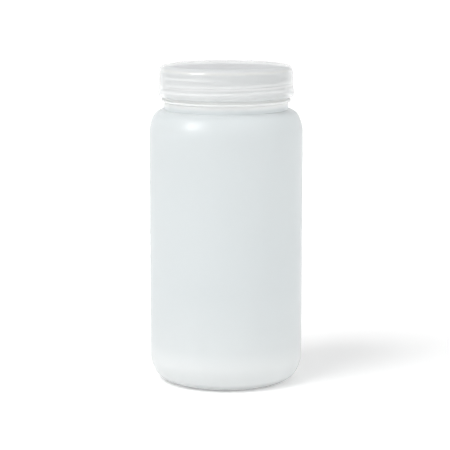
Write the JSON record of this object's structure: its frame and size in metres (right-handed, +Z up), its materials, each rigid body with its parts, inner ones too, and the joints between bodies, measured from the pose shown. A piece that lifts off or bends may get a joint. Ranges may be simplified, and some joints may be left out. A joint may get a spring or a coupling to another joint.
{
  "type": "wide-mouth reagent bottle",
  "caption": "Straight-sided wide-mouth reagent bottle of milky translucent plastic, with rounded shoulder and heel, and a low screw cap over a sealing disc.",
  "frame": {"origin": "on the bottle's axis, on the plane that its foot stands on", "axes": "+Z up along the axis, out of the mouth; the bottle is round, and its thread starts 150 degrees round from +X towards +Y"},
  "size_m": [0.092, 0.092, 0.1915],
  "materials": {
    "bottle_plastic": "milky translucent, satin, as blown",
    "cap_plastic": "milky translucent, satin, as moulded",
    "disc_foam": "matt closed-cell foam"
  },
  "bodies": {
    "bottle": {"bottle": "bottle_plastic"},
    "disc": {"sealing_disc": "disc_foam"},
    "cap": {"cap": "cap_plastic"}
  },
  "joints": [
    {"name": "cap_lift", "type": "slide", "parent": "bottle", "child": "disc", "axis": [0, 0, 1], "range_m": [0, 0.0189]},
    {"name": "cap_turn", "type": "hinge", "parent": "disc", "child": "cap", "pos_m": [0, 0, 0.1893], "axis": [0, 0, 1], "range_deg": [0, 1620]}
  ],
  "couplings": [
    {"joint": "cap_lift", "follows": "cap_turn", "m_per_rad": 0.00066845}
  ]
}
